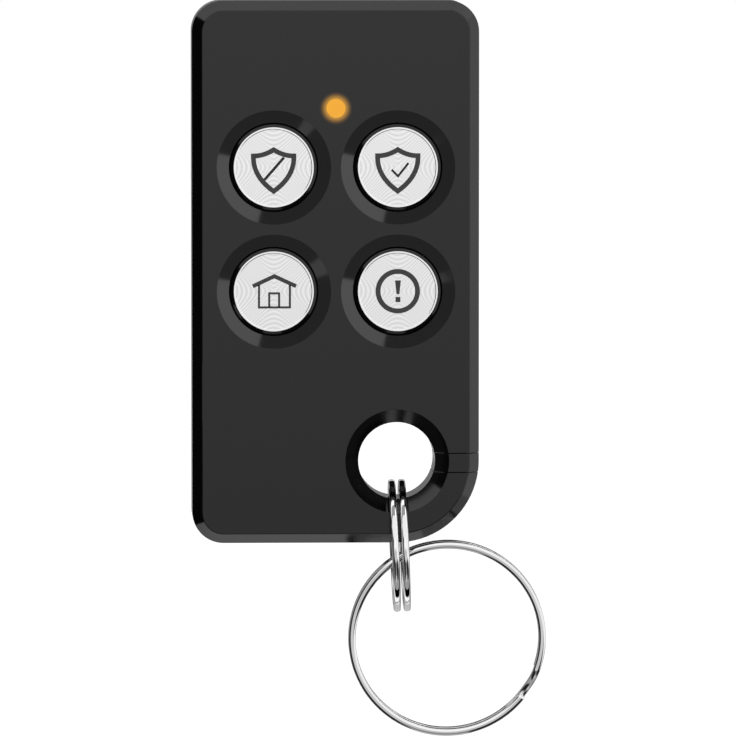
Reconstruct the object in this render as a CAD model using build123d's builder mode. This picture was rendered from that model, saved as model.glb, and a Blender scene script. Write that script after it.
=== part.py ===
from build123d import *
from math import atan2, cos, degrees, pi, radians, sin, sqrt
import os

# An alarm key fob, standing upright and seen from the front: X to the right, Z up, its face towards -Y.
# The origin is the centre of the back face. A height is a distance in front of the back face.
# All sizes are millimetres and all angles are degrees.

# Casing
fob_width = 33.1
fob_length = 62.6
fob_thickness = 9.6
corner_radius = 3.6
edge_bevel = 1.15
edge_bevel_depth = 1.45
edge_softening = 0.15
side_wall = 1.4
front_wall = 1.2
back_wall = 1.1
parting_height = 4.2
parting_bevel = 0.12
overrun = 1.0

# Lip and catches that snap the two shells together
lip_height = 1.1
lip_thickness = 0.6
lip_clearance = 0.05
catch_length = 4.0
catch_reach = 0.22
catch_width = 0.5
catch_rise = 0.3
catch_place_shares = (0.26, -0.11)
pry_slot_length = 6.0
pry_slot_depth = 0.8
pry_slot_width = 0.9
pry_slot_offset = -7.0

# Key hole, its dished rims and the gate that closes the casing beside it
ring_hole_radius = 4.44
ring_dish_radius = 6.0
ring_dish_depth = 1.55
ring_edge_distance = 9.5
eye_wall = 1.0
gate_width = 2.1
gate_drop = 0.2
gate_seam = 0.12
gate_tongue_width = 1.6
gate_tongue_reach = 0.5
gate_tongue_length = 2.6
gate_clearance = 0.08

# Buttons
button_names = ("disarm", "away", "stay", "panic")
button_pitch = 14.3
button_group_share = 0.0793
button_dish_radius = 6.58
button_dish_depth = 1.0
button_gap = 0.2
button_sink = 0.85
button_travel = 0.25
collar_wall = 0.5
cap_radius = 4.95
cap_bevel = 0.16
cap_top_wall = 0.7
cap_skirt_wall = 0.8
cap_nub_radius = 1.3
flange_thickness = 0.45
flange_reach = 0.45
flange_clearance = 0.05
face_radius = 4.62
face_thickness = 0.3
face_rim_width = 0.22
face_rim_rise = 0.06
face_clearance = 0.02

# Switches under the buttons
switch_width = 4.5
switch_height = 0.75
switch_corner = 0.5
switch_well_floor = 0.1
switch_clearance = 0.1
switch_leg_length = 0.6
switch_leg_width = 0.6
switch_leg_thickness = 0.15
switch_leg_spacing = 3.0
plunger_radius = 1.0
plunger_clearance = 0.08

# Circuit board and the posts that hold it
board_thickness = 0.8
board_clearance = 0.25
post_radius = 1.4
post_inset = 2.6
pin_radius = 0.7
pin_clearance = 0.1
pin_reach = 0.8

# Coin cell and its contacts
cell_radius = 10.0
cell_thickness = 3.2
cell_cap_inset = 1.2
cell_cap_step = 0.3
cell_edge_bevel = 0.25
cell_place_share = 0.024
cell_clearance = 0.3
well_wall = 0.8
well_height = 1.6
clip_thickness = 0.2
clip_width = 6.0
clip_foot = 1.6
clip_clearance = 0.2
contact_thickness = 0.12
contact_width = 3.0
contact_pad = 3.0
contact_slope = 2.4
contact_tip = 1.5
contact_room = 0.3

# Indicator light
light_place_share = 0.3025
light_radius = 1.04
light_clearance = 0.03
light_flange_reach = 0.6
light_flange_thickness = 0.5
light_gap = 0.15
led_length = 1.6
led_width = 0.8
led_base_height = 0.4
led_lens_length = 1.1
led_lens_height = 0.4
led_lens_taper = 8.0

# Chips, small parts and the antenna
chip_length = 5.0
chip_width = 4.4
chip_height = 1.0
chip_offset = -7.6
chip_place_share = 0.359
chip_pin_count = 7
chip_pin_pitch = 0.65
chip_pin_width = 0.24
chip_pin_reach = 0.9
chip_pin_height = 0.3
resonator_side = 3.8
resonator_height = 1.0
resonator_base = 0.3
resonator_lip = 0.25
resonator_round = 0.5
resonator_offset = 7.4
capacitor_size = (1.6, 0.8, 0.8)
resistor_size = (1.6, 0.8, 0.45)
small_part_spacing = (2.6, 1.9)
antenna_strip_width = 0.7
antenna_strip_thickness = 0.5
antenna_span = 15.0
antenna_stand = 1.7
antenna_bend = 0.9
antenna_edge_distance = 1.6

# Split rings, each a flat wire wound twice with a step where it changes layer
link_ring_radius = 7.7
link_wire_width = 1.0
link_wire_thickness = 0.86
link_turn_gap = 0.3
link_step_angle = 205.0
link_seat_gap = 0.05
link_ring_lean = 2.5
link_ring_turn = 1.1
key_ring_radius = 11.48
key_wire_width = 0.85
key_wire_thickness = 0.9
key_turn_gap = 0.1
key_step_angle = -28.0
key_ring_gap = 0.9
key_ring_lean = 16.0
key_ring_tilt = 5.5
wire_bevel = 0.22
step_length = 3.4
step_end_gap = 0.15
step_section_shares = (0.0, 0.2, 0.4, 0.6, 0.8, 1.0)

# Heights and places that follow from the sizes above
inner_front = fob_thickness - front_wall
cell_bottom = back_wall + clip_clearance + clip_thickness
cell_top = cell_bottom + cell_thickness
board_back = cell_top + contact_room
board_front = board_back + board_thickness
switch_top = board_front + switch_height
cap_bottom = switch_top + switch_clearance + button_travel
flange_top = cap_bottom + flange_thickness
collar_bottom = flange_top + flange_clearance
cap_top = fob_thickness - button_sink
light_bottom = board_front + led_base_height + led_lens_height + light_gap
light_flange_radius = light_radius + light_flange_reach
well_radius = cap_radius + button_gap
collar_radius = button_dish_radius + collar_wall
eye_radius = ring_dish_radius + eye_wall
ring_x = fob_width / 2 - ring_edge_distance
ring_z = ring_edge_distance - fob_length / 2
gate_z = ring_z - gate_drop
button_group_z = button_group_share * fob_length
light_z = light_place_share * fob_length
cell_z = cell_place_share * fob_length
chip_z = chip_place_share * fob_length
hole_edge = ring_x + ring_hole_radius
inner_half_width = fob_width / 2 - side_wall
inner_half_length = fob_length / 2 - side_wall
post_x = inner_half_width - post_inset
post_z = inner_half_length - post_inset
post_places = (
    (-post_x, post_z),
    (post_x, post_z),
    (-post_x, -post_z),
    (post_x, ring_z + eye_radius + post_inset),
)
button_places = [
    (side * button_pitch / 2, button_group_z + row * button_pitch / 2)
    for row in (1, -1)
    for side in (-1, 1)
]

os.makedirs("parts", exist_ok=True)


def casing_outline(height, inset):
    """The casing's outline seen from the front, at a height and drawn in by inset all round."""
    with BuildSketch(Plane.XZ.offset(height)) as outline:
        Rectangle(fob_width - 2 * inset, fob_length - 2 * inset)
        left_corners, right_corners = outline.vertices().group_by(Axis.X)
        upper_right = right_corners.sort_by(Axis.Y)[-1]
        fillet([*left_corners, upper_right], max(corner_radius - inset, edge_softening))
        ring_corner = outline.vertices().sort_by(Axis.Y)[:2].sort_by(Axis.X)[-1]
        fillet(ring_corner, max(ring_edge_distance - inset, edge_softening))
    return outline.sketch


def hollow(low, high, grow):
    """The space inside the casing between two heights, made larger all round by grow."""
    reach = eye_radius - grow
    corner = ring_edge_distance + overrun
    with BuildPart() as space:
        extrude(casing_outline(low, side_wall - grow), amount=high - low)
        with BuildSketch(Plane.XZ.offset(low)):
            with Locations((ring_x, ring_z)):
                Circle(reach)
                Rectangle(corner, reach + corner, align=(Align.MIN, Align.MAX))
                Rectangle(reach + corner, corner, align=(Align.MIN, Align.MAX))
            with Locations((ring_x, ring_z + reach)):
                Rectangle(corner, reach + corner, align=(Align.MIN, Align.MAX))
            with Locations((ring_x - reach, ring_z)):
                Rectangle(reach + corner, corner, align=(Align.MIN, Align.MAX))
        extrude(amount=high - low, mode=Mode.SUBTRACT)
    return space.part


def turning_plane(x, z):
    """The plane through an axis square to the face: local x is the radius and local y the height."""
    return Plane(origin=(x, 0, z), x_dir=(1, 0, 0), z_dir=(0, 0, -1))


def turning_axis(x, z):
    """The axis that a button or hole at x, z is turned about."""
    return Axis((x, 0, z), (0, -1, 0))


# The whole casing as one form: outline, bevelled edges, key hole and its dish on both faces
with BuildPart() as fob_form:
    extrude(casing_outline(0, 0), amount=fob_thickness)
    for face in (fob_form.faces().sort_by(Axis.Y)[0], fob_form.faces().sort_by(Axis.Y)[-1]):
        chamfer(face.edges(), edge_bevel, edge_bevel_depth, reference=face)
    for face in (fob_form.faces().sort_by(Axis.Y)[0], fob_form.faces().sort_by(Axis.Y)[-1]):
        fillet(face.edges(), edge_softening)
    with BuildSketch(turning_plane(ring_x, ring_z)):
        with BuildLine():
            dish_slope = (ring_dish_radius - ring_hole_radius) / ring_dish_depth
            mouth_radius = ring_dish_radius + dish_slope * overrun
            Polyline(
                (0, -overrun),
                (mouth_radius, -overrun),
                (ring_hole_radius, ring_dish_depth),
                (ring_hole_radius, fob_thickness - ring_dish_depth),
                (mouth_radius, fob_thickness + overrun),
                (0, fob_thickness + overrun),
                close=True,
            )
        make_face()
    revolve(axis=turning_axis(ring_x, ring_z), mode=Mode.SUBTRACT)

# Gate slot: the gap in both shells beside the key hole, with a groove for the gate's tongues
slot_half = gate_width / 2 + gate_seam
groove_half = gate_width / 2 + gate_tongue_reach + gate_clearance
tongue_x = (hole_edge + fob_width / 2) / 2
with BuildPart() as gate_slot:
    with BuildSketch(Plane.XZ.offset(-overrun)):
        with Locations((ring_x, gate_z)):
            Rectangle(ring_edge_distance + overrun, 2 * slot_half, align=(Align.MIN, Align.CENTER))
    extrude(amount=fob_thickness + 2 * overrun)
    groove_bottom = parting_height - gate_tongue_width / 2 - gate_clearance
    with BuildSketch(Plane.XZ.offset(groove_bottom)):
        with Locations((tongue_x, gate_z)):
            Rectangle(gate_tongue_length + 2 * gate_clearance, 2 * groove_half)
    extrude(amount=gate_tongue_width + 2 * gate_clearance)

# Catches on the lip, one pair on each long side
catch_bottom = parting_height + catch_rise
lip_face = fob_width / 2 - side_wall + lip_thickness
with BuildPart() as catches:
    for share in catch_place_shares:
        with BuildSketch(Plane.XY.offset(share * fob_length)):
            with BuildLine():
                Polyline(
                    (lip_face - lip_thickness / 2, -catch_bottom),
                    (lip_face, -catch_bottom),
                    (lip_face + catch_reach, -catch_bottom - catch_width / 4),
                    (lip_face, -catch_bottom - catch_width),
                    (lip_face - lip_thickness / 2, -catch_bottom - catch_width),
                    close=True,
                )
            make_face()
    extrude(amount=catch_length / 2, both=True)
    mirror(about=Plane.YZ)

# Front shell: face, button wells with collars, light hole and the posts that locate the board
with BuildPart() as front_shell:
    add(fob_form.part)
    split(bisect_by=Plane.XZ.offset(parting_height), keep=Keep.TOP)
    parting_face = front_shell.faces().sort_by(Axis.Y)[-1]
    chamfer(parting_face.outer_wire().edges(), parting_bevel)
    add(hollow(parting_height, inner_front, 0), mode=Mode.SUBTRACT)
    lip_room = lip_height + lip_clearance
    add(
        hollow(parting_height, parting_height + lip_room, lip_thickness + lip_clearance),
        mode=Mode.SUBTRACT,
    )
    catch_rooms = offset(catches.part, lip_clearance, kind=Kind.INTERSECTION, mode=Mode.PRIVATE)
    add(catch_rooms, mode=Mode.SUBTRACT)
    with BuildSketch(Plane.XZ.offset(collar_bottom)):
        with Locations((0, button_group_z)):
            with GridLocations(button_pitch, button_pitch, 2, 2):
                Circle(collar_radius)
    extrude(amount=inner_front - collar_bottom)
    with BuildSketch(Plane.XZ.offset(light_bottom)):
        with Locations((0, light_z)):
            Circle(light_flange_radius + light_clearance)
    extrude(amount=inner_front - light_bottom, mode=Mode.SUBTRACT)
    with BuildSketch(Plane.XZ.offset(board_front)):
        with Locations(*post_places):
            Circle(post_radius)
    extrude(amount=inner_front - board_front)
    with BuildSketch(Plane.XZ.offset(board_back - pin_reach)):
        with Locations(*post_places):
            Circle(pin_radius)
    extrude(amount=board_thickness + pin_reach)
    dish_angle = 2 * degrees(atan2(button_dish_radius - well_radius, button_dish_depth))
    with Locations(Plane((0, -fob_thickness, button_group_z), (1, 0, 0), (0, -1, 0))):
        with GridLocations(button_pitch, button_pitch, 2, 2):
            CounterSinkHole(well_radius, button_dish_radius, counter_sink_angle=dish_angle)
    with Locations(Plane((0, -fob_thickness, light_z), (1, 0, 0), (0, -1, 0))):
        Hole(light_radius + light_clearance)
    add(gate_slot.part, mode=Mode.SUBTRACT)
front_shell.part.label = "front_shell"
export_step(front_shell.part, "parts/front_shell.step")

# Rear shell: back face, lip with catches, cell well, sockets for the board's pins and a pry slot
socket_depth = pin_reach + pin_clearance
with BuildPart() as rear_shell:
    add(fob_form.part)
    split(bisect_by=Plane.XZ.offset(parting_height), keep=Keep.BOTTOM)
    parting_face = rear_shell.faces().sort_by(Axis.Y)[0]
    chamfer(parting_face.outer_wire().edges(), parting_bevel)
    add(hollow(parting_height, parting_height + lip_height, lip_thickness))
    add(catches.part)
    add(hollow(back_wall, parting_height + lip_height, 0), mode=Mode.SUBTRACT)
    with BuildSketch(Plane.XZ.offset(back_wall)):
        with Locations((0, cell_z)):
            Circle(cell_radius + cell_clearance + well_wall)
            Circle(cell_radius + cell_clearance, mode=Mode.SUBTRACT)
            Rectangle(fob_width, clip_width + 2 * clip_clearance, mode=Mode.SUBTRACT)
    extrude(amount=well_height)
    with BuildSketch(Plane.XZ.offset(back_wall)):
        with Locations(*post_places):
            Circle(post_radius)
    extrude(amount=board_back - back_wall)
    with BuildSketch(Plane.XZ.offset(board_back - socket_depth)):
        with Locations(*post_places):
            Circle(pin_radius + pin_clearance)
    extrude(amount=socket_depth, mode=Mode.SUBTRACT)
    with BuildSketch(Plane.XZ.offset(parting_height - pry_slot_width)):
        with Locations((pry_slot_offset, -fob_length / 2)):
            Rectangle(pry_slot_length, 2 * pry_slot_depth)
    extrude(amount=pry_slot_width, mode=Mode.SUBTRACT)
    add(gate_slot.part, mode=Mode.SUBTRACT)
rear_shell.part.label = "rear_shell"
export_step(rear_shell.part, "parts/rear_shell.step")

# Ring gate: the bridge that closes the rim beside the key hole, held by a tongue on each side
with BuildPart() as ring_gate:
    add(fob_form.part)
    with BuildSketch(Plane.XZ.offset(-overrun)):
        with Locations((ring_x, gate_z)):
            Rectangle(ring_edge_distance + overrun, gate_width, align=(Align.MIN, Align.CENTER))
    extrude(amount=fob_thickness + 2 * overrun, mode=Mode.INTERSECT)
    with BuildSketch(Plane.XZ.offset(parting_height - gate_tongue_width / 2)):
        with Locations((tongue_x, gate_z)):
            Rectangle(gate_tongue_length, gate_width + 2 * gate_tongue_reach)
    extrude(amount=gate_tongue_width)
ring_gate.part.label = "ring_gate"
export_step(ring_gate.part, "parts/ring_gate.step")

# Light pipe: a clear peg through the face, its flange against the wall's inside
with BuildPart() as light_pipe:
    with BuildSketch(turning_plane(0, light_z)):
        with BuildLine():
            Polyline(
                (0, light_bottom),
                (light_radius, light_bottom),
                (light_radius, inner_front - light_flange_thickness),
                (light_flange_radius, inner_front - light_flange_thickness),
                (light_flange_radius, inner_front),
                (light_radius, inner_front),
                (light_radius, fob_thickness),
                (0, fob_thickness),
                close=True,
            )
        make_face()
    revolve(axis=turning_axis(0, light_z))
light_pipe.part.label = "light_pipe"
export_step(light_pipe.part, "parts/light_pipe.step")

# Circuit board: fills the casing's hollow, notched round the key hole
with BuildPart() as circuit_board:
    add(hollow(board_back, board_front, -board_clearance))
    with Locations(Plane.XZ.offset(board_front)):
        with Locations(*post_places):
            Hole(pin_radius + pin_clearance)
circuit_board.part.label = "circuit_board"
export_step(circuit_board.part, "parts/circuit_board.step")

# Indicator LED: a base with a tapered lens, under the light pipe
with BuildPart() as indicator_led:
    with BuildSketch(Plane.XZ.offset(board_front)):
        with Locations((0, light_z)):
            Rectangle(led_length, led_width)
    extrude(amount=led_base_height)
    with BuildSketch(Plane.XZ.offset(board_front + led_base_height)):
        with Locations((0, light_z)):
            Rectangle(led_lens_length, led_width)
    extrude(amount=led_lens_height, taper=led_lens_taper)
indicator_led.part.label = "indicator_led"
export_step(indicator_led.part, "parts/indicator_led.step")

# Microcontroller: a flat package with a row of legs along each long side
with BuildPart() as microcontroller:
    with BuildSketch(Plane.XZ.offset(board_front)):
        with Locations((chip_offset, chip_z)):
            with GridLocations(chip_pin_pitch, 0, chip_pin_count, 1):
                Rectangle(chip_pin_width, chip_width + 2 * chip_pin_reach)
    extrude(amount=chip_pin_height)
    with BuildSketch(Plane.XZ.offset(board_front)):
        with Locations((chip_offset, chip_z)):
            Rectangle(chip_length, chip_width)
    extrude(amount=chip_height)
microcontroller.part.label = "microcontroller"
export_step(microcontroller.part, "parts/microcontroller.step")

# Radio resonator: a metal can on a flat base
with BuildPart() as radio_resonator:
    with BuildSketch(Plane.XZ.offset(board_front)):
        with Locations((resonator_offset, chip_z)):
            RectangleRounded(resonator_side, resonator_side, resonator_round)
    extrude(amount=resonator_base)
    with BuildSketch(Plane.XZ.offset(board_front + resonator_base)):
        with Locations((resonator_offset, chip_z)):
            can_side = resonator_side - 2 * resonator_lip
            RectangleRounded(can_side, can_side, resonator_round)
    extrude(amount=resonator_height - resonator_base)
radio_resonator.part.label = "radio_resonator"
export_step(radio_resonator.part, "parts/radio_resonator.step")

# Chip capacitors between the controller and the radio, and chip resistors below the buttons
small_parts = (
    ("capacitors", capacitor_size, (0, chip_z)),
    ("resistors", resistor_size, (-inner_half_width / 2, ring_z)),
)
for name, size, place in small_parts:
    with BuildPart() as chips:
        with BuildSketch(Plane.XZ.offset(board_front)):
            with Locations(place):
                with GridLocations(*small_part_spacing, 2, 3):
                    Rectangle(size[0], size[1])
        extrude(amount=size[2])
    chips.part.label = name
    export_step(chips.part, f"parts/{name}.step")

# Antenna loop: a stiff strip bent into a bridge along the board's top edge
antenna_z = inner_half_length - antenna_edge_distance
antenna_top = board_front + antenna_stand
with BuildPart() as antenna_loop:
    with BuildSketch(turning_plane(0, antenna_z)):
        with BuildLine():
            FilletPolyline(
                (-antenna_span / 2, board_front),
                (-antenna_span / 2, antenna_top),
                (antenna_span / 2, antenna_top),
                (antenna_span / 2, board_front),
                radius=antenna_bend,
            )
        trace(line_width=antenna_strip_thickness)
    extrude(amount=antenna_strip_width / 2, both=True)
antenna_loop.part.label = "antenna_loop"
export_step(antenna_loop.part, "parts/antenna_loop.step")

# Coin cell: a can with its smaller negative cap towards the board
with BuildPart() as coin_cell:
    with BuildSketch(turning_plane(0, cell_z)):
        with BuildLine():
            Polyline(
                (0, cell_bottom),
                (cell_radius, cell_bottom),
                (cell_radius, cell_top - cell_cap_step),
                (cell_radius - cell_cap_inset, cell_top - cell_cap_step),
                (cell_radius - cell_cap_inset, cell_top),
                (0, cell_top),
                close=True,
            )
        make_face()
    revolve(axis=turning_axis(0, cell_z))
    can_rims = coin_cell.edges().filter_by(GeomType.CIRCLE).group_by(SortBy.RADIUS)[-1]
    chamfer(can_rims, cell_edge_bevel)
coin_cell.part.label = "coin_cell"
export_step(coin_cell.part, "parts/coin_cell.step")

# Battery clip: a bent strip under the cell, its two feet soldered to the board's back
leg_x = cell_radius + clip_clearance
with BuildPart() as battery_clip:
    with BuildSketch(turning_plane(0, cell_z)):
        with BuildLine():
            Polyline(
                (-leg_x - clip_thickness - clip_foot, board_back),
                (-leg_x, board_back),
                (-leg_x, cell_bottom),
                (leg_x, cell_bottom),
                (leg_x, board_back),
                (leg_x + clip_thickness + clip_foot, board_back),
                (leg_x + clip_thickness + clip_foot, board_back - clip_thickness),
                (leg_x + clip_thickness, board_back - clip_thickness),
                (leg_x + clip_thickness, cell_bottom - clip_thickness),
                (-leg_x - clip_thickness, cell_bottom - clip_thickness),
                (-leg_x - clip_thickness, board_back - clip_thickness),
                (-leg_x - clip_thickness - clip_foot, board_back - clip_thickness),
                close=True,
            )
        make_face()
    extrude(amount=clip_width / 2, both=True)
battery_clip.part.label = "battery_clip"
export_step(battery_clip.part, "parts/battery_clip.step")

# Battery contact: a leaf that springs from the board down to the cell's negative cap
tip_top = cell_top + contact_thickness
with BuildPart() as battery_contact:
    with BuildSketch(turning_plane(0, cell_z)):
        with BuildLine():
            Polyline(
                (-contact_pad, board_back),
                (0, board_back),
                (contact_slope, tip_top),
                (contact_slope + contact_tip, tip_top),
                (contact_slope + contact_tip, cell_top),
                (contact_slope, cell_top),
                (0, board_back - contact_thickness),
                (-contact_pad, board_back - contact_thickness),
                close=True,
            )
        make_face()
    extrude(amount=contact_width / 2, both=True)
battery_contact.part.label = "battery_contact"
export_step(battery_contact.part, "parts/battery_contact.step")

# Buttons, each with a moulded cap, a silver face, a plunger and the switch that it presses
flange_radius = well_radius + flange_reach
face_bottom = cap_top - face_thickness
plunger_bottom = board_front + switch_well_floor + plunger_clearance + button_travel
for name, (x, z) in zip(button_names, button_places):
    with BuildPart() as button_cap:
        with BuildSketch(turning_plane(x, z)):
            with BuildLine():
                skirt_radius = cap_radius - cap_skirt_wall
                Polyline(
                    (0, cap_bottom),
                    (cap_nub_radius, cap_bottom),
                    (cap_nub_radius, face_bottom - cap_top_wall),
                    (skirt_radius, face_bottom - cap_top_wall),
                    (skirt_radius, cap_bottom),
                    (flange_radius, cap_bottom),
                    (flange_radius, flange_top),
                    (cap_radius, flange_top),
                    (cap_radius, cap_top - cap_bevel),
                    (face_radius + face_clearance, cap_top),
                    (face_radius + face_clearance, face_bottom),
                    (0, face_bottom),
                    close=True,
                )
            make_face()
        revolve(axis=turning_axis(x, z))
    button_cap.part.label = f"{name}_button_cap"
    export_step(button_cap.part, f"parts/{name}_button_cap.step")

    with BuildPart() as button_face:
        with BuildSketch(turning_plane(x, z)):
            with BuildLine():
                rim_inner = face_radius - face_rim_width
                Polyline(
                    (0, face_bottom),
                    (face_radius, face_bottom),
                    (face_radius, cap_top + face_rim_rise),
                    (rim_inner, cap_top + face_rim_rise),
                    (rim_inner, cap_top),
                    (0, cap_top),
                    close=True,
                )
            make_face()
        revolve(axis=turning_axis(x, z))
    button_face.part.label = f"{name}_button_face"
    export_step(button_face.part, f"parts/{name}_button_face.step")

    with BuildPart() as switch_plunger:
        with BuildSketch(Plane.XZ.offset(plunger_bottom)):
            with Locations((x, z)):
                Circle(plunger_radius)
        extrude(amount=cap_bottom - plunger_bottom)
    switch_plunger.part.label = f"{name}_switch_plunger"
    export_step(switch_plunger.part, f"parts/{name}_switch_plunger.step")

    with BuildPart() as switch_body:
        with BuildSketch(Plane.XZ.offset(board_front)):
            with Locations((x, z)):
                with GridLocations(0, switch_leg_spacing, 1, 2):
                    Rectangle(switch_width + 2 * switch_leg_length, switch_leg_width)
        extrude(amount=switch_leg_thickness)
        with BuildSketch(Plane.XZ.offset(board_front)) as switch_outline:
            with Locations((x, z)):
                Rectangle(switch_width, switch_width)
            chamfer(switch_outline.vertices(), switch_corner)
        extrude(amount=switch_height)
        with BuildSketch(Plane.XZ.offset(board_front + switch_well_floor)):
            with Locations((x, z)):
                Circle(plunger_radius + plunger_clearance)
        extrude(amount=switch_height, mode=Mode.SUBTRACT)
    switch_body.part.label = f"{name}_switch_body"
    export_step(switch_body.part, f"parts/{name}_switch_body.step")

# Split rings: the link ring runs through the key hole edge on, and the key ring through the link ring
link_half_width = link_wire_thickness + link_turn_gap / 2
link_inner_radius = link_ring_radius - link_wire_width
bore_half_length = fob_thickness / 2 - ring_dish_depth
link_drop = (
    sqrt(ring_hole_radius**2 - link_half_width**2)
    + sqrt(link_inner_radius**2 - bore_half_length**2)
    - link_seat_gap
)
link_frame = Plane(
    (
        ring_x + link_drop * sin(radians(link_ring_lean)),
        -fob_thickness / 2,
        ring_z - link_drop * cos(radians(link_ring_lean)),
    ),
    (-sin(radians(link_ring_turn)), -cos(radians(link_ring_turn)), 0),
    (
        cos(radians(link_ring_turn)) * cos(radians(link_ring_lean)),
        -sin(radians(link_ring_turn)) * cos(radians(link_ring_lean)),
        sin(radians(link_ring_lean)),
    ),
)

# The key ring leans back about the place where its wire passes through the link ring
key_ring_distance = ring_edge_distance + key_ring_gap + key_ring_radius
key_mean_radius = key_ring_radius - key_wire_width / 2
lean_between = radians(key_ring_lean - link_ring_lean)
crossing_drop = key_ring_distance * cos(lean_between) - sqrt(
    key_mean_radius**2 - (key_ring_distance * sin(lean_between)) ** 2
)
crossing_x = ring_x + crossing_drop * sin(radians(link_ring_lean))
crossing_z = ring_z - crossing_drop * cos(radians(link_ring_lean))
key_ring_drop = crossing_z - ring_z + key_ring_distance * cos(radians(key_ring_lean))
key_frame = Plane(
    (
        ring_x + key_ring_distance * sin(radians(key_ring_lean)),
        -fob_thickness / 2 + key_ring_drop * sin(radians(key_ring_tilt)),
        crossing_z - key_ring_drop * cos(radians(key_ring_tilt)),
    ),
    (1, 0, 0),
    (0, -cos(radians(key_ring_tilt)), -sin(radians(key_ring_tilt))),
)


def wire_section(frame, angle, radius, layer, width, thickness):
    """The wire cut across at an angle round the ring, its middle at a radius and a layer along the axis."""
    outward = frame.x_dir * cos(radians(angle)) + frame.y_dir * sin(radians(angle))
    with BuildSketch(Plane(frame.origin, outward, outward.cross(frame.z_dir))) as section:
        with Locations((radius, layer)):
            Rectangle(width, thickness)
        chamfer(section.vertices(), wire_bevel)
    return section.sketch


def split_ring(frame, outer_radius, width, thickness, turn_gap, step_angle):
    """A flat wire wound twice round the frame's axis, stepping from one layer to the other."""
    radius = outer_radius - width / 2
    layer = (thickness + turn_gap) / 2
    half_step = degrees(step_length / radius) / 2
    end_gap = degrees(step_end_gap / radius)
    turn = 360 - 2 * half_step - end_gap
    axis = Axis(frame.origin, frame.z_dir)
    with BuildPart() as ring:
        start = step_angle + half_step
        revolve(wire_section(frame, start + end_gap, radius, -layer, width, thickness), axis, turn)
        revolve(wire_section(frame, start, radius, layer, width, thickness), axis, turn)
        steps = [
            wire_section(
                frame,
                step_angle + half_step * (2 * share - 1),
                radius,
                -layer * cos(pi * share),
                width,
                thickness,
            )
            for share in step_section_shares
        ]
        loft(steps)
    return ring.part


with BuildPart() as link_ring:
    add(
        split_ring(
            link_frame,
            link_ring_radius,
            link_wire_width,
            link_wire_thickness,
            link_turn_gap,
            link_step_angle,
        )
    )
link_ring.part.label = "link_ring"
export_step(link_ring.part, "parts/link_ring.step")

with BuildPart() as key_ring:
    add(
        split_ring(
            key_frame,
            key_ring_radius,
            key_wire_width,
            key_wire_thickness,
            key_turn_gap,
            key_step_angle,
        )
    )
key_ring.part.label = "key_ring"
export_step(key_ring.part, "parts/key_ring.step")

# Places that the joints and mounts need
print("key hole axis", ring_x, ring_z, "mid thickness", -fob_thickness / 2)
print("link ring centre", link_frame.origin)
print("key ring centre", key_frame.origin)
print("key ring crosses the link ring at", crossing_x, crossing_z)
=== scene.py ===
import math

import bpy
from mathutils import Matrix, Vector


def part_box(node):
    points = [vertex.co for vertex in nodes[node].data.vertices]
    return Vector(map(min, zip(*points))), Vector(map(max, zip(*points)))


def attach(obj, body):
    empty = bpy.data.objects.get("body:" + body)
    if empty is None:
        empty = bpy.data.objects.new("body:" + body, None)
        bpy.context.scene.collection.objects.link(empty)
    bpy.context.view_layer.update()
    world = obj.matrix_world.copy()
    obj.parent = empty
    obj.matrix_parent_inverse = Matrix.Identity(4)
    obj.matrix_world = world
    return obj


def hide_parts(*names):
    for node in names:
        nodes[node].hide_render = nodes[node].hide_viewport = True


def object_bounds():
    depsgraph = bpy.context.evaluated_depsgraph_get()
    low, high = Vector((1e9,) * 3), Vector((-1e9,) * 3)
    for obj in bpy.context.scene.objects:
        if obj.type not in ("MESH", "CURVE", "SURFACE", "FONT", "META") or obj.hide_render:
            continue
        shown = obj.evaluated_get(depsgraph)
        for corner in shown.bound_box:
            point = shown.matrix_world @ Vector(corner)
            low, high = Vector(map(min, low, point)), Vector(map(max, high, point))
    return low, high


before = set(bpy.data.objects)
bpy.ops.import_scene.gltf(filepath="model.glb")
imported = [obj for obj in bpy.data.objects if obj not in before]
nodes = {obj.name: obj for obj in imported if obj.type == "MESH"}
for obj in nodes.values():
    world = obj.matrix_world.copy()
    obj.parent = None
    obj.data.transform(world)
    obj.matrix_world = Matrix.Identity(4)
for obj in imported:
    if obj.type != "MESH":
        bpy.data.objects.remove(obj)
cad_low, cad_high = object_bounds()

# ---------------------------------------------------------------- rear shell
# The back half of the casing, a single injection moulding in black ABS with a smooth, faintly
# satin skin. It carries the cell well and the board's sockets, and snaps to the front half.


def finish(name, colour, roughness, metallic=0.0, ior=1.45):
    """A new finish with its plain values on the shader's own sockets."""
    material = bpy.data.materials.new(name)
    material.use_nodes = True
    shader = material.node_tree.nodes["Principled BSDF"]
    shader.inputs["Base Color"].default_value = (*colour, 1)
    shader.inputs["Roughness"].default_value = roughness
    shader.inputs["Metallic"].default_value = metallic
    shader.inputs["IOR"].default_value = ior
    return material, shader


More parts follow.
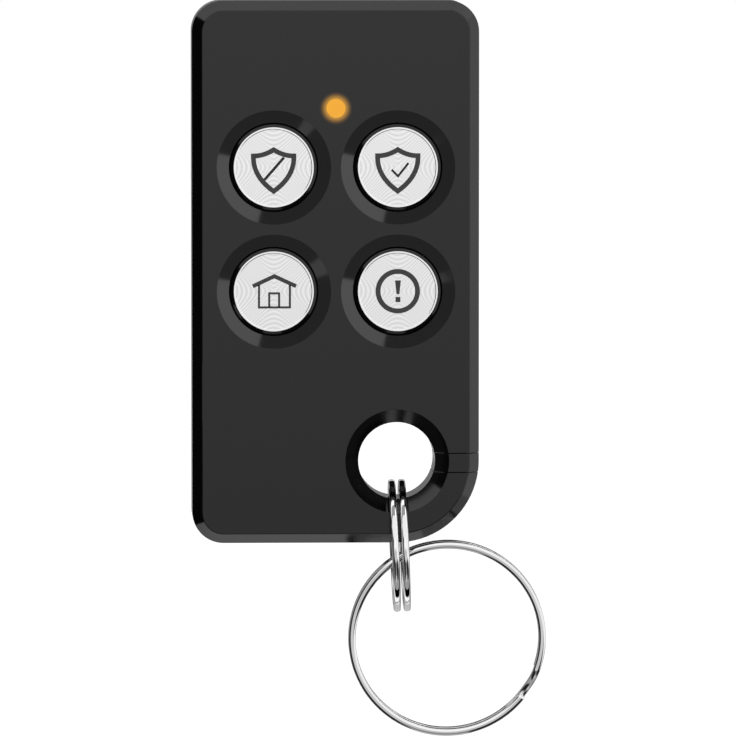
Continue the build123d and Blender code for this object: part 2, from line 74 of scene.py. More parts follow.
def fleck(material, shader, size_mm, roughness_range, colour_range=None, bump_mm=0.0, edge_mm=0.0):
    """Fine variation over a surface: roughness, tone and a shallow relief from one noise, soft edges."""
    tree = material.node_tree
    place = tree.nodes.new("ShaderNodeTexCoord")
    noise = tree.nodes.new("ShaderNodeTexNoise")
    noise.inputs["Scale"].default_value = 1000 / size_mm
    noise.inputs["Detail"].default_value = 4
    tree.links.new(place.outputs["Object"], noise.inputs["Vector"])
    gloss = tree.nodes.new("ShaderNodeMapRange")
    gloss.inputs["To Min"].default_value, gloss.inputs["To Max"].default_value = roughness_range
    tree.links.new(noise.outputs["Fac"], gloss.inputs["Value"])
    tree.links.new(gloss.outputs["Result"], shader.inputs["Roughness"])
    if colour_range:
        tone = tree.nodes.new("ShaderNodeValToRGB")
        tone.color_ramp.elements[0].color = (*colour_range[0], 1)
        tone.color_ramp.elements[1].color = (*colour_range[1], 1)
        tree.links.new(noise.outputs["Fac"], tone.inputs["Fac"])
        tree.links.new(tone.outputs["Color"], shader.inputs["Base Color"])
    relief = tree.nodes.new("ShaderNodeBump")
    relief.inputs["Distance"].default_value = bump_mm / 1000
    relief.inputs["Strength"].default_value = 0.5
    tree.links.new(noise.outputs["Fac"], relief.inputs["Height"])
    if edge_mm:
        edge = tree.nodes.new("ShaderNodeBevel")
        edge.samples = 6
        edge.inputs["Radius"].default_value = edge_mm / 1000
        tree.links.new(edge.outputs["Normal"], relief.inputs["Normal"])
    tree.links.new(relief.outputs["Normal"], shader.inputs["Normal"])


def dress(material, *names):
    """Gives carried-over pieces a finish, and lets their turned faces shade smoothly."""
    for name in names:
        nodes[name].material_slots[0].material = material
        nodes[name].data.polygons.foreach_set("use_smooth", [True] * len(nodes[name].data.polygons))


casing_black, casing_shader = finish("casing_black", (0.004, 0.004, 0.0042), 0.13, ior=1.47)
fleck(casing_black, casing_shader, 0.35, (0.10, 0.15),
      ((0.0025, 0.0025, 0.0027), (0.0045, 0.0045, 0.0048)), bump_mm=0.0006, edge_mm=0.04)
dress(casing_black, "rear_shell")

# ---------------------------------------------------------------- coin cell and its contacts
# A standard 20 mm lithium cell in a satin steel can, held by a nickel-plated clip under it and a
# leaf spring on its cap, both soldered to the back of the board.
cell_steel, cell_shader = finish("cell_steel", (0.62, 0.62, 0.61), 0.3, metallic=1.0)
fleck(cell_steel, cell_shader, 0.8, (0.24, 0.38), bump_mm=0.002)
dress(cell_steel, "coin_cell")

spring_plate, spring_shader = finish("spring_plate", (0.68, 0.66, 0.62), 0.22, metallic=1.0)
fleck(spring_plate, spring_shader, 1.2, (0.16, 0.3), bump_mm=0.001)
dress(spring_plate, "battery_clip", "battery_contact")

# ---------------------------------------------------------------- circuit board
# Glass laminate under green solder mask, pinned between the two shells, with its chips, the
# antenna strip and the small ceramic parts soldered to its front.
solder_mask, mask_shader = finish("solder_mask", (0.012, 0.12, 0.05), 0.3)
fleck(solder_mask, mask_shader, 1.6, (0.26, 0.38), ((0.010, 0.10, 0.04), (0.016, 0.15, 0.065)),
      bump_mm=0.004)
dress(solder_mask, "circuit_board")

chip_moulding, chip_shader = finish("chip_moulding", (0.02, 0.02, 0.021), 0.55)
fleck(chip_moulding, chip_shader, 0.2, (0.5, 0.65), ((0.016, 0.016, 0.017), (0.028, 0.028, 0.03)),
      bump_mm=0.004)
dress(chip_moulding, "microcontroller", "resistors")

can_plate, can_shader = finish("can_plate", (0.6, 0.59, 0.56), 0.25, metallic=1.0)
fleck(can_plate, can_shader, 0.9, (0.18, 0.34), bump_mm=0.001)
dress(can_plate, "radio_resonator")

fired_ceramic, ceramic_shader = finish("fired_ceramic", (0.42, 0.30, 0.18), 0.5)
fleck(fired_ceramic, ceramic_shader, 0.3, (0.44, 0.6), ((0.36, 0.25, 0.14), (0.5, 0.37, 0.23)), bump_mm=0.003)
dress(fired_ceramic, "capacitors")

tinned_strip, tin_shader = finish("tinned_strip", (0.72, 0.71, 0.67), 0.28, metallic=1.0)
fleck(tinned_strip, tin_shader, 0.5, (0.22, 0.4), bump_mm=0.003)
dress(tinned_strip, "antenna_loop")

# ---------------------------------------------------------------- indicator
# A small amber diode on the board and, over it, a clear amber peg that ends flush with the face.
# The peg is lit in the photograph, evenly from edge to edge.
lens_white, lens_shader = finish("lens_white", (0.78, 0.76, 0.7), 0.35)
fleck(lens_white, lens_shader, 0.4, (0.3, 0.42), ((0.74, 0.72, 0.66), (0.82, 0.8, 0.75)), bump_mm=0.001)
dress(lens_white, "indicator_led")

lit_amber, amber_shader = finish("lit_amber", (0.30, 0.12, 0.012), 0.2)
amber_shader.inputs["Emission Color"].default_value = (0.70, 0.325, 0.018, 1)
fleck(lit_amber, amber_shader, 0.3, (0.16, 0.24))
lit = lit_amber.node_tree
lit_place = lit.nodes.new("ShaderNodeTexCoord")
lit_cloud = lit.nodes.new("ShaderNodeTexNoise")
lit_cloud.inputs["Scale"].default_value = 1800
lit_level = lit.nodes.new("ShaderNodeMapRange")
lit_level.inputs["To Min"].default_value = 0.94
lit_level.inputs["To Max"].default_value = 1.04
lit.links.new(lit_place.outputs["Object"], lit_cloud.inputs["Vector"])
lit.links.new(lit_cloud.outputs["Fac"], lit_level.inputs["Value"])
lit.links.new(lit_level.outputs["Result"], amber_shader.inputs["Emission Strength"])
dress(lit_amber, "light_pipe")

# ---------------------------------------------------------------- switches
# Four low surface-mounted key switches, each a black moulded body soldered to the board with a white
# plunger that its cap pushes in.
button_names = ("disarm", "away", "stay", "panic")
dress(chip_moulding, *[f"{name}_switch_body" for name in button_names])
dress(lens_white, *[f"{name}_switch_plunger" for name in button_names])

# ---------------------------------------------------------------- front shell and ring gate
# The front half is the same black moulding, with four dished wells and the key hole. The lit peg
# spills an amber halo into the plastic round it. The gate is a bridge of the same plastic.
front_black = casing_black.copy()
front_black.name = "front_black"
halo = front_black.node_tree
halo_shader = halo.nodes["Principled BSDF"]
halo_shader.inputs["Emission Color"].default_value = (0.62, 0.30, 0.03, 1)
peg_low, peg_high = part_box("light_pipe")
peg_x, peg_z = (peg_low.x + peg_high.x) / 2, (peg_low.z + peg_high.z) / 2
halo_place = halo.nodes.new("ShaderNodeTexCoord")
halo_from = halo.nodes.new("ShaderNodeVectorMath")
halo_from.operation = "SUBTRACT"
halo_from.inputs[1].default_value = (peg_x, peg_low.y, peg_z)
halo_length = halo.nodes.new("ShaderNodeVectorMath")
halo_length.operation = "LENGTH"
halo_fall = halo.nodes.new("ShaderNodeMapRange")
halo_fall.interpolation_type = "SMOOTHSTEP"
halo_edge, halo_core = 0.00205, 0.00085
halo_fall.inputs["From Min"].default_value = halo_edge
halo_fall.inputs["From Max"].default_value = halo_core
halo_curve = halo.nodes.new("ShaderNodeMath")
halo_curve.operation = "POWER"
halo_curve.inputs[1].default_value = 1.6
halo.links.new(halo_place.outputs["Object"], halo_from.inputs[0])
halo.links.new(halo_from.outputs["Vector"], halo_length.inputs[0])
halo.links.new(halo_length.outputs["Value"], halo_fall.inputs["Value"])
halo.links.new(halo_fall.outputs["Result"], halo_curve.inputs[0])
halo.links.new(halo_curve.outputs["Value"], halo_shader.inputs["Emission Strength"])
dress(front_black, "front_shell")
dress(casing_black, "ring_gate")

# ---------------------------------------------------------------- button caps
# Four round caps in gloss black ABS, each bevelled at its edge and pocketed for its silver face.
# Below the bevel the mould is left with its spark-eroded grain, so the skirt and flange are matt.
cap_gloss, cap_shader = finish("cap_gloss", (0.004, 0.004, 0.004), 0.12)
fleck(cap_gloss, cap_shader, 0.5, (0.09, 0.14), ((0.003, 0.003, 0.003), (0.005, 0.005, 0.005)), edge_mm=0.02)
cap_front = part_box("disarm_button_cap")[0].y
skirt_from, skirt_full, skirt_grain = cap_front + 0.0004, cap_front + 0.0007, 0.8
cap_tree = cap_gloss.node_tree
cap_place = cap_tree.nodes.new("ShaderNodeTexCoord")
cap_axes = cap_tree.nodes.new("ShaderNodeSeparateXYZ")
cap_depth = cap_tree.nodes.new("ShaderNodeMapRange")
cap_depth.inputs["From Min"].default_value = skirt_from
cap_depth.inputs["From Max"].default_value = skirt_full
cap_depth.inputs["To Max"].default_value = skirt_grain
cap_grain = cap_tree.nodes.new("ShaderNodeMath")
cap_grain.operation = "ADD"
cap_tree.links.new(cap_shader.inputs["Roughness"].links[0].from_socket, cap_grain.inputs[0])
cap_tree.links.new(cap_place.outputs["Object"], cap_axes.inputs[0])
cap_tree.links.new(cap_axes.outputs["Y"], cap_depth.inputs["Value"])
cap_tree.links.new(cap_depth.outputs["Result"], cap_grain.inputs[1])
cap_tree.links.new(cap_grain.outputs["Value"], cap_shader.inputs["Roughness"])
dress(cap_gloss, *[f"{name}_button_cap" for name in button_names])

# ---------------------------------------------------------------- button faces
# A spun aluminium disc is pressed into each cap. Its raised rim is polished bright, and the fine
# rings that the tool leaves give the flat a watered look.
face_segments = 160
spun_roughness, rim_roughness, rim_brightness = 0.25, 0.14, 0.97
dark_arc, bright_arc = 0.80, 0.99
arc_pitch, arc_pull = 0.000152, 0.72


def turned(name, centre, profile, segments):
    """A solid of revolution about an axis square to the face, from (radius, y) points."""
    points, faces = [], []
    for step in range(segments):
        angle = 2 * math.pi * step / segments
        points += [(centre[0] + r * math.cos(angle), y, centre[1] + r * math.sin(angle)) for r, y in profile]
    count = len(profile)
    for step in range(segments):
        after = (step + 1) % segments
        faces += [(step * count + i, step * count + i + 1, after * count + i + 1, after * count + i)
                  for i in range(count - 1)]
    first = [step * count for step in range(segments)]
    last = [step * count + count - 1 for step in range(segments)]
    faces += [tuple(reversed(first)), tuple(last)]
    mesh = bpy.data.meshes.new(name)
    mesh.from_pydata(points, [], faces)
    mesh.validate()
    piece = bpy.data.objects.new(name, mesh)
    bpy.context.scene.collection.objects.link(piece)
    return piece


def spun_silver(name, centre, polished_from):
    """The finish of one disc: metal with the watered arcs of its fine rings, and a polished rim."""
    material, shader = finish(name, (0.86, 0.86, 0.87), spun_roughness, metallic=1.0)
    tree = material.node_tree
    place = tree.nodes.new("ShaderNodeTexCoord")
    off = tree.nodes.new("ShaderNodeVectorMath")
    off.operation = "SUBTRACT"
    off.inputs[1].default_value = (centre[0], 0, centre[1])
    tree.links.new(place.outputs["Object"], off.inputs[0])
    flat = tree.nodes.new("ShaderNodeVectorMath")
    flat.operation = "MULTIPLY"
    flat.inputs[1].default_value = (1, 0, 1)
    tree.links.new(off.outputs["Vector"], flat.inputs[0])
    radius = tree.nodes.new("ShaderNodeVectorMath")
    radius.operation = "LENGTH"
    tree.links.new(flat.outputs["Vector"], radius.inputs[0])
    parts = tree.nodes.new("ShaderNodeSeparateXYZ")
    tree.links.new(flat.outputs["Vector"], parts.inputs[0])

    def sum_of(operation, first, second):
        step = tree.nodes.new("ShaderNodeMath")
        step.operation = operation
        for socket, value in zip(step.inputs, (first, second)):
            if isinstance(value, (int, float)):
                socket.default_value = value
            elif value is not None:
                tree.links.new(value, socket)
        return step.outputs["Value"]

    across = sum_of("ABSOLUTE", parts.outputs["X"], None)
    along = sum_of("ABSOLUTE", parts.outputs["Z"], None)
    farther = sum_of("MAXIMUM", across, along)
    rings = sum_of("MULTIPLY", radius.outputs["Value"], arc_pull)
    phase = sum_of("MULTIPLY", sum_of("SUBTRACT", farther, rings), 2 * math.pi / arc_pitch)
    square = sum_of("MULTIPLY", radius.outputs["Value"], radius.outputs["Value"])
    slant = sum_of("DIVIDE", sum_of("MULTIPLY", parts.outputs["X"], parts.outputs["Z"]), square)
    calm = tree.nodes.new("ShaderNodeMapRange")
    calm.inputs["From Min"].default_value = -0.42
    calm.inputs["From Max"].default_value = -0.2
    calm.inputs["To Min"].default_value = 0.25
    tree.links.new(slant, calm.inputs["Value"])
    wave = sum_of("MULTIPLY", sum_of("SINE", phase, None), calm.outputs["Result"])
    tone = tree.nodes.new("ShaderNodeMapRange")
    tone.inputs["From Min"].default_value = -1
    tone.inputs["To Min"].default_value = dark_arc
    tone.inputs["To Max"].default_value = bright_arc
    tree.links.new(wave, tone.inputs["Value"])
    polished = sum_of("GREATER_THAN", radius.outputs["Value"], polished_from)
    bright = sum_of("MAXIMUM", tone.outputs["Result"], sum_of("MULTIPLY", polished, rim_brightness))
    tree.links.new(bright, shader.inputs["Base Color"])
    smoothing = sum_of("MULTIPLY", polished, spun_roughness - rim_roughness)
    tree.links.new(sum_of("SUBTRACT", spun_roughness, smoothing), shader.inputs["Roughness"])
    return material


face_centre = {}
face_front = {}
for name in button_names:
    low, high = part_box(f"{name}_button_face")
    centre = ((low.x + high.x) / 2, (low.z + high.z) / 2)
    radius = (high.x - low.x) / 2
    middle, rim, rise, bevel = 0.0004, 0.00022, 0.00006, 0.00001
    face_centre[name] = centre
    face_front[name] = low.y + rise
    profile = [
        (middle, high.y), (radius, high.y), (radius, low.y + 3 * bevel), (radius - bevel, low.y + bevel),
        (radius - 3 * bevel, low.y), (radius - rim + 4 * bevel, low.y), (radius - rim + bevel, low.y + bevel),
        (radius - rim - bevel, low.y + rise - bevel), (radius - rim - 4 * bevel, low.y + rise),
        (middle, low.y + rise),
    ]
    disc = turned(f"{name}_disc", centre, profile, face_segments)
    disc.data.materials.append(spun_silver(f"{name}_silver", centre, radius - rim - bevel))
    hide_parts(f"{name}_button_face")
    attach(disc, f"{name}_button")

# ---------------------------------------------------------------- icons
# The four marks are printed on the discs in dark grey ink: a struck-out shield, a ticked shield, a
# house and a warning mark. Each is a film of ink with its real outline.
ink_thickness = 0.000012
ink_grey, ink_shader = finish("ink_grey", (0.055, 0.055, 0.057), 0.5)
fleck(ink_grey, ink_shader, 0.1, (0.42, 0.58), ((0.045, 0.045, 0.047), (0.068, 0.068, 0.07)))
ink_black, black_shader = finish("ink_black", (0.012, 0.012, 0.013), 0.5)
fleck(ink_black, black_shader, 0.1, (0.42, 0.58), ((0.009, 0.009, 0.010), (0.016, 0.016, 0.017)))


def bend(start, middle, end, steps):
    """Points along a curve that leaves start and reaches end as if pulled towards middle."""
    return [
        tuple(
            (1 - t) ** 2 * a + 2 * t * (1 - t) * b + t * t * c
            for a, b, c in zip(start, middle, end)
        )
        for t in [i / steps for i in range(steps)]
    ]


def printed(name, button, path, width, material, closed=False, end_width=None):
    """A printed line: path is in millimetres from the disc's centre, across and up."""
    count = len(path)
    left, right = [], []
    for i, (x, z) in enumerate(path):
        before = path[i - 1] if (closed or i) else None
        after = path[(i + 1) % count] if (closed or i < count - 1) else None
        runs = []
        if before:
            runs.append(Vector((x - before[0], z - before[1])).normalized())
        if after:
            runs.append(Vector((after[0] - x, after[1] - z)).normalized())
        run = sum(runs, Vector((0, 0))).normalized()
        side = Vector((-run.y, run.x))
        square = Vector((-runs[0].y, runs[0].x))
        half = width / 2 if end_width is None else (width + (end_width - width) * i / (count - 1)) / 2
        reach = half / max(side.dot(square), 0.35)
        left.append((x + side.x * reach, z + side.y * reach))
        right.append((x - side.x * reach, z - side.y * reach))
    cx, cz = face_centre[button]
    back = face_front[button]
    points, faces = [], []
    for y in (back - ink_thickness, back):
        for rail in (left, right):
            points += [(cx + px / 1000, y, cz + pz / 1000) for px, pz in rail]
    for i in range(count if closed else count - 1):
        j = (i + 1) % count
        faces += [
            (i, j, count + j, count + i),
            (2 * count + j, 2 * count + i, 3 * count + i, 3 * count + j),
            (j, i, 2 * count + i, 2 * count + j),
            (count + i, count + j, 3 * count + j, 3 * count + i),
        ]
    if not closed:
        e = count - 1
        faces += [(0, count, 3 * count, 2 * count), (count + e, e, 2 * count + e, 3 * count + e)]
    mesh = bpy.data.meshes.new(name)
    mesh.from_pydata(points, [], faces)
    mesh.validate()
    mark = bpy.data.objects.new(name, mesh)
    bpy.context.scene.collection.objects.link(mark)
    mark.data.materials.append(material)
    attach(mark, f"{button}_button")
    return mark


def shield(steps=10):
    """The centre line of a shield: hollowed shoulders, sides that draw in to a point."""
    right = (
        bend((0, 2.03), (1.15, 1.30), (2.33, 1.32), steps)
        + bend((2.33, 1.32), (2.42, -1.05), (0, -2.75), steps)
    )
    left = [(-x, z) for x, z in reversed(right[1:])]
    return right + [(0, -2.75)] + left


for button in ("disarm", "away"):
    printed(f"{button}_shield", button, shield(), 0.56, ink_grey, closed=True)
printed("disarm_stroke", "disarm", [(1.19, 1.14), (-1.05, -1.43)], 0.32, ink_black)
printed("away_tick", "away", [(-0.71, -0.29), (0.03, -1.04), (1.23, 0.48)], 0.26, ink_black)
printed("stay_roof", "stay", [(-2.42, 0.60), (0.07, 1.76), (2.58, 0.60)], 0.46, ink_grey)
printed("stay_walls", "stay", [(-1.70, 0.75), (-1.70, -1.84), (1.86, -1.84), (1.86, 0.75)], 0.25, ink_grey)
printed("stay_door", "stay", [(-0.52, -1.80), (-0.52, -0.22), (0.62, -0.22), (0.62, -1.80)], 0.25, ink_grey)
circle_path = [
    (2.28 * math.cos(2 * math.pi * i / 72), 2.28 * math.sin(2 * math.pi * i / 72)) for i in range(72)
]
printed("panic_circle", "panic", circle_path, 0.57, ink_grey, closed=True)
printed("panic_bar", "panic", [(0.02, 1.25), (0.02, -0.34)], 0.68, ink_grey, end_width=0.34)
printed("panic_dot", "panic", [(0.02, -0.66), (0.02, -1.27)], 0.56, ink_grey)

# ---------------------------------------------------------------- split rings
# Each ring is rolled spring-steel wire wound twice, nickel plated and polished, with a cranked step
# where it passes from one layer to the other. The small one hangs edge on in the key hole, and the
# large one hangs from it, leaning back a little.
ring_chrome, chrome_shader = finish("ring_chrome", (0.80, 0.80, 0.81), 0.06, metallic=1.0)
fleck(ring_chrome, chrome_shader, 0.6, (0.04, 0.09), bump_mm=0.0004)


def wire_outline(width, thickness, corner, side_crown, face_crown):
    """The wire's cross-section, a bar with crowned sides, as (across, along the axis) points."""
    a, b = width / 2, thickness / 2
    side, face = math.radians(side_crown), math.radians(face_crown)
    k1, k2 = math.sin(face), 1 - math.cos(side)
    k3, k4 = 1 - math.cos(face), math.sin(side)
    a_left = a - corner * (math.cos(side) - math.sin(face))
    b_left = b - corner * (math.cos(face) - math.sin(side))
    face_bow = (a_left * k4 - b_left * k2) / (k1 * k4 - k2 * k3)
    side_bow = (b_left * k1 - a_left * k3) / (k1 * k4 - k2 * k3)
    arcs = (
        (side_bow, a - side_bow, 0, 0, side, 1),
        (corner, a - side_bow + (side_bow - corner) * math.cos(side), (side_bow - corner) * math.sin(side),
         side, math.pi / 2 - face, 5),
        (face_bow, 0, b - face_bow, math.pi / 2 - face, math.pi / 2, 4),
    )
    quarter = []
    for bow, cx, cz, start, end, steps in arcs:
        turns = [start + (end - start) * i / steps for i in range(steps)]
        quarter += [(cx + bow * math.cos(turn), cz + bow * math.sin(turn)) for turn in turns]
    quarter.append((0, b))
    upper = quarter + [(-x, z) for x, z in reversed(quarter[:-1])]
    return upper + [(-x, -z) for x, z in upper[1:-1]]


def split_ring(name, node, origin, across, up, axis, radius, width, thickness, gap, step_angle, step_length,
               end_gap, section, body):
    """Wire wound twice round an axis, from the front layer through its step to the back one.

    Lengths are in millimetres and angles in degrees. The section is the wire's corner radius and how
    far its sides and its faces are crowned.
    """
    middle, layer = radius - width / 2, (thickness + gap) / 2
    half = math.degrees(step_length / middle) / 2
    gap_angle = math.degrees(end_gap / middle)
    first, last = step_angle - 360 + half + gap_angle, step_angle + 360 - half - gap_angle
    winding_steps, crank_steps = 420, 24
    turns = {first + (last - first) * i / winding_steps for i in range(winding_steps + 1)}
    turns |= {step_angle + half * (2 * i / crank_steps - 1) for i in range(crank_steps + 1)}
    outline = wire_outline(width, thickness, *section)
    nib = math.degrees(0.06 / middle)
    stations = [(first, 0.86), (first + nib / 2, 0.96)]
    stations += [(turn, 1.0) for turn in sorted(turns) if first + nib <= turn <= last - nib]
    stations += [(last - nib / 2, 0.96), (last, 0.86)]
    points, faces = [], []
    for angle, size in stations:
        share = min(max((angle - step_angle + half) / (2 * half), 0), 1)
        along = -layer * math.cos(math.pi * share)
        outward = across * math.cos(math.radians(angle)) + up * math.sin(math.radians(angle))
        points += [
            (origin + (outward * (middle + a * size) + axis * (along + b * size)) / 1000)
            for a, b in outline
        ]
    count = len(outline)
    for s in range(len(stations) - 1):
        for i in range(count):
            j = (i + 1) % count
            faces.append((s * count + i, s * count + j, (s + 1) * count + j, (s + 1) * count + i))
    end = (len(stations) - 1) * count
    faces += [tuple(reversed(range(count))), tuple(range(end, end + count))]
    mesh = bpy.data.meshes.new(name)
    mesh.from_pydata(points, [], faces)
    mesh.validate()
    mesh.polygons.foreach_set("use_smooth", [True] * (len(mesh.polygons) - 2) + [False, False])
    ring = bpy.data.objects.new(name, mesh)
    bpy.context.scene.collection.objects.link(ring)
    ring.data.materials.append(ring_chrome)
    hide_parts(node)
    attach(ring, body)
    return ring


link_lean, link_turn = math.radians(2.5), math.radians(1.1)
link_low, link_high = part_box("link_ring")
link_across = Vector((-math.sin(link_turn), -math.cos(link_turn), 0))
link_axis = Vector((math.cos(link_turn) * math.cos(link_lean), -math.sin(link_turn) * math.cos(link_lean),
                    math.sin(link_lean)))
split_ring("link_wire", "link_ring", (link_low + link_high) / 2, link_across, link_axis.cross(link_across),
           link_axis, 7.698, 1.0, 0.86, 0.3, 205.0, 3.4, 0.15, (0.27, 16, 12), "link_ring")
key_low, key_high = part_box("key_ring")
key_tilt = math.radians(5.5)
key_across, key_axis = Vector((1, 0, 0)), Vector((0, -math.cos(key_tilt), -math.sin(key_tilt)))
split_ring("key_wire", "key_ring", (key_low + key_high) / 2, key_across, key_axis.cross(key_across),
           key_axis, 11.478, 0.85, 0.9, 0.1, -28.0, 3.4, 0.15, (0.13, 8, 22), "key_ring")

# ---------------------------------------------------------------- floor
# A white sweep under the object, which shows as plain white and keeps a soft shadow. It isn't
# mirrored in the gloss: what shows there comes from the room.
floor_mesh = bpy.data.meshes.new("floor")
reach, level = 1.5, cad_low.z - 0.0006
floor_corners = [(x * reach, y * reach, level) for x, y in ((-1, -1), (1, -1), (1, 1), (-1, 1))]
floor_mesh.from_pydata(floor_corners, [], [(0, 1, 2, 3)])
floor = bpy.data.objects.new("floor", floor_mesh)
bpy.context.scene.collection.objects.link(floor)
floor.visible_glossy = False
floor_white = bpy.data.materials.new("floor_white")
floor_white.use_nodes = True
floor_tree = floor_white.node_tree
floor_shader = floor_tree.nodes["Principled BSDF"]
floor_shader.inputs["Base Color"].default_value = (0.35, 0.35, 0.35, 1)
floor_shader.inputs["Roughness"].default_value = 1.0
floor_shader.inputs["Specular IOR Level"].default_value = 0.0
floor_shader.inputs["Emission Color"].default_value = (1, 1, 1, 1)
floor_rays = floor_tree.nodes.new("ShaderNodeLightPath")
seen_white = floor_tree.nodes.new("ShaderNodeMath")
seen_white.operation = "MULTIPLY"
seen_white.inputs[1].default_value = 0.85
floor_tree.links.new(floor_rays.outputs["Is Camera Ray"], seen_white.inputs[0])
floor_tree.links.new(seen_white.outputs["Value"], floor_shader.inputs["Emission Strength"])
floor.data.materials.append(floor_white)

# ---------------------------------------------------------------- room
# The room is white where it is seen past the object, and lights its matt surfaces evenly. Its gloss
# mirrors a white front, dark walls with a grey band, a lit rim beside the object and a dim back.
room = bpy.data.worlds.new("room")
bpy.context.scene.world = room
room.use_nodes = True
room_tree = room.node_tree
room_tree.nodes.clear()


def room_sum(operation, first, second=0.0, third=None):
    """One step of the sum that gives the room's brightness in a direction."""
    step = room_tree.nodes.new("ShaderNodeMath")
    step.operation = operation
    for socket, value in zip(step.inputs, (first, second, third)):
        if isinstance(value, (int, float)):
            socket.default_value = value
        elif value is not None:
            room_tree.links.new(value, socket)
    return step.outputs["Value"]


def room_product(first, *others):
    """All of the shares multiplied together."""
    for share in others:
        first = room_sum("MULTIPLY", first, share)
    return first


def room_brightest(first, *others):
    """The largest of the tones."""
    for tone in others:
        first = room_sum("MAXIMUM", first, tone)
    return first


def room_rest(share):
    """What a share leaves of one."""
    return room_sum("SUBTRACT", 1.0, share)


def room_step(low, high):
    """Nought at the forward share low, one at high and a smooth change between them."""
    ramp = room_tree.nodes.new("ShaderNodeMapRange")
    ramp.interpolation_type = "SMOOTHSTEP"
    ramp.inputs["From Min"].default_value, ramp.inputs["From Max"].default_value = low, high
    room_tree.links.new(room_forward, ramp.inputs["Value"])
    return ramp.outputs["Result"]


def room_sector(middle, half_width):
    """One within half_width degrees of a bearing and nought outside it, with a two-degree edge."""
    off = room_sum("WRAP", room_sum("SUBTRACT", room_bearing, math.radians(middle)), math.pi, -math.pi)
    edge = room_tree.nodes.new("ShaderNodeMapRange")
    edge.interpolation_type = "SMOOTHSTEP"
    edge.inputs["From Min"].default_value = math.radians(half_width + 1)
    edge.inputs["From Max"].default_value = math.radians(half_width - 1)
    room_tree.links.new(room_sum("ABSOLUTE", off, None), edge.inputs["Value"])
    return edge.outputs["Result"]


# A direction is told by its bearing round the line to the front, in degrees from the right, and by
# its forward share: 1 straight in front, 0 beside and -1 straight behind.
towards = room_tree.nodes.new("ShaderNodeTexCoord")
axes = room_tree.nodes.new("ShaderNodeSeparateXYZ")
room_tree.links.new(towards.outputs["Generated"], axes.inputs[0])
room_x, room_y, room_z = (axes.outputs[a] for a in "XYZ")
room_bearing = room_sum("ARCTAN2", room_z, room_x)
room_forward = room_sum("MULTIPLY", room_y, -1.0)

# The front: a white panel, wide on the upper right side, with a grey strip under it. Straight in
# front it falls off downwards, as the casing's face does.
front_core = room_step(0.86, 0.97)
front_wide = room_product(room_step(0.48, 0.52), room_rest(room_sector(-124, 89)))
strip_tone = room_sum("MULTIPLY_ADD", room_step(0.70, 0.60), 0.35, 0.25)
front_strip = room_product(strip_tone, room_step(0.46, 0.49), room_sector(-90, 12))
front_panel = room_brightest(front_core, front_wide, front_strip)
front_level, slope_low, slope_high = 1.05, 0.6, 1.2
front_slope = room_sum("MULTIPLY_ADD", room_z, 4.2, 1.07)
front_slope = room_sum("MINIMUM", room_sum("MAXIMUM", front_slope, slope_low), slope_high)
front_fall = room_sum("SUBTRACT", front_slope, front_level)
front_tone = room_sum("MULTIPLY_ADD", front_fall, room_step(0.93, 0.97), front_level)

# The walls: dark, with a grey band that the wells mirror and a window in it at the upper right.
side_band = room_product(room_step(0.50, 0.46), room_step(0.18, 0.21))
window = room_product(room_sector(27.5, 44), side_band, 1.55)
walls = room_sum("ADD", room_sum("MULTIPLY_ADD", side_band, 0.36, 0.02), window)
between = room_product(room_rest(front_panel), room_step(0.16, 0.20))

# The rim: a lit ring just behind the object's sides for the bevels, dark on the left and dimmer at
# the lower right, with a horizon in front of it above.
horizon = room_product(room_step(0.20, 0.16), room_step(-0.18, -0.12), room_sector(116, 35), 1.15)
rim_panel = room_brightest(room_product(room_step(-0.12, -0.18), room_step(-0.56, -0.42)), horizon)
rim_left, rim_low, rim_right = room_sector(180, 30), room_sector(-50, 20), room_sector(0, 30)
rim_dim = room_brightest(rim_left, room_product(rim_low, 0.5), room_product(rim_right, 0.15))
rim_tone = room_product(1.18, room_rest(rim_dim))

# The back: nearly dark above, where the link ring's tips look, and grey elsewhere, with a light
# patch under the object and a strip above that the key ring's inner side mirrors.
back_wall = room_sum("MULTIPLY_ADD", room_step(-0.978, -0.99), 0.255, 0.004)
back_wall = room_product(room_step(-0.42, -0.56), back_wall)
back_low = room_product(room_sector(-90, 30), room_step(-0.42, -0.56), 0.6)
back_strip = room_product(room_step(-0.945, -0.955), room_step(-0.985, -0.979), room_sector(81, 50), 0.85)
back_sides = room_product(room_step(-0.50, -0.60), room_step(-0.985, -0.975), 0.45)
back_sides = room_product(back_sides, room_rest(room_sector(90, 45)))
back_tone = room_brightest(back_wall, back_low, back_strip, back_sides)

mirrored = room_sum("ADD", room_product(front_panel, front_tone), room_product(rim_panel, rim_tone))
mirrored = room_sum("ADD", room_sum("ADD", mirrored, back_tone), room_product(between, walls))
room_rays = room_tree.nodes.new("ShaderNodeLightPath")
camera_ray = room_rays.outputs["Is Camera Ray"]
shiny = room_brightest(room_rays.outputs["Is Glossy Ray"], room_rays.outputs["Is Transmission Ray"])
soft_level = 0.58
lighting = room_sum("ADD", room_product(shiny, mirrored), room_product(room_rest(shiny), soft_level))
shade = room_tree.nodes.new("ShaderNodeBackground")
shade.inputs["Color"].default_value = (1, 1, 1, 1)
seen_or_lighting = room_brightest(camera_ray, room_product(room_rest(camera_ray), lighting))
room_tree.links.new(seen_or_lighting, shade.inputs["Strength"])
room_out = room_tree.nodes.new("ShaderNodeOutputWorld")
room_tree.links.new(shade.outputs["Background"], room_out.inputs["Surface"])

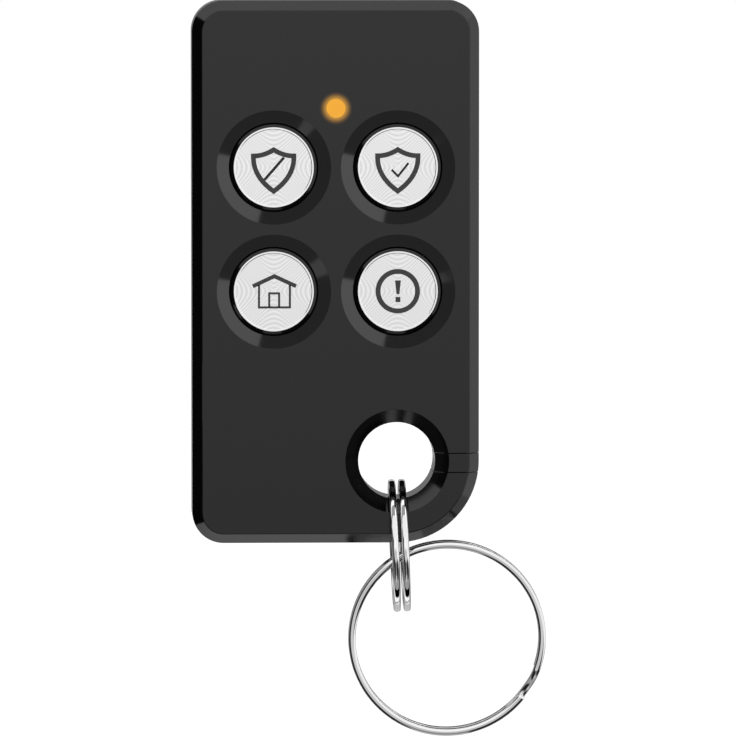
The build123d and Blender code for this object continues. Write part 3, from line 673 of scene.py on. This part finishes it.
# ---------------------------------------------------------------- lamps
# A wide soft box on the upper right and a large one overhead give a soft shadow, and aren't
# mirrored. A small card close by on the left shows only in the lower right of the key hole's dish.


def soft_box(name, place, aim, width, height, radiance):
    """A rectangular lamp at a place, turned to an aim, of a plain brightness as it is seen."""
    data = bpy.data.lights.new(name, "AREA")
    data.shape = "RECTANGLE"
    data.size, data.size_y = width, height
    data.energy = radiance * math.pi * width * height
    lamp = bpy.data.objects.new(name, data)
    bpy.context.scene.collection.objects.link(lamp)
    lamp.location = place
    lamp.rotation_euler = (Vector(aim) - Vector(place)).to_track_quat("-Z", "Y").to_euler()
    return lamp


key_off, key_bearing, key_distance = math.radians(60), math.radians(27.5), 0.6
key_side = Vector((math.sin(key_off) * math.cos(key_bearing), -math.cos(key_off),
                   math.sin(key_off) * math.sin(key_bearing)))
key = soft_box("key_box", key_side * key_distance, (0, 0, 0), 0.5, 0.4, 1.4)
key.visible_glossy = False
front = soft_box("front_box", (0.1, -1.2, 0.9), (0, 0, -0.01), 0.8, 0.5, 1.6)
front.visible_glossy = False
low_card = soft_box("low_card", (-0.0274, -0.0207, -0.0149), (0, -0.0096, 0.005), 0.010, 0.008, 0.8)
low_card.visible_diffuse = False
low_card.visible_camera = False

# ---------------------------------------------------------------- camera
# The photograph is taken from just left of and above the middle, with a long lens. The casing's
# top touches the frame and the large ring's foot comes down to it.
camera_data = bpy.data.cameras.new("camera")
camera = bpy.data.objects.new("camera", camera_data)
bpy.context.scene.collection.objects.link(camera)
bpy.context.scene.camera = camera
camera_data.sensor_width = 36
camera_data.lens = 424.54
sight_turn, sight_rise, sight_length = math.radians(2.18), math.radians(3.73), 1.0
look_at = Vector((0.003684, -0.0096, -0.010993))
sight = Vector((-math.sin(sight_turn) * math.cos(sight_rise), -math.cos(sight_turn) * math.cos(sight_rise),
                math.sin(sight_rise)))
camera.location = look_at + sight * sight_length
camera.rotation_euler = (look_at - camera.location).to_track_quat("-Z", "Y").to_euler()
camera_data.clip_start, camera_data.clip_end = 0.01, 50
bpy.context.scene.view_settings.view_transform = "Standard"
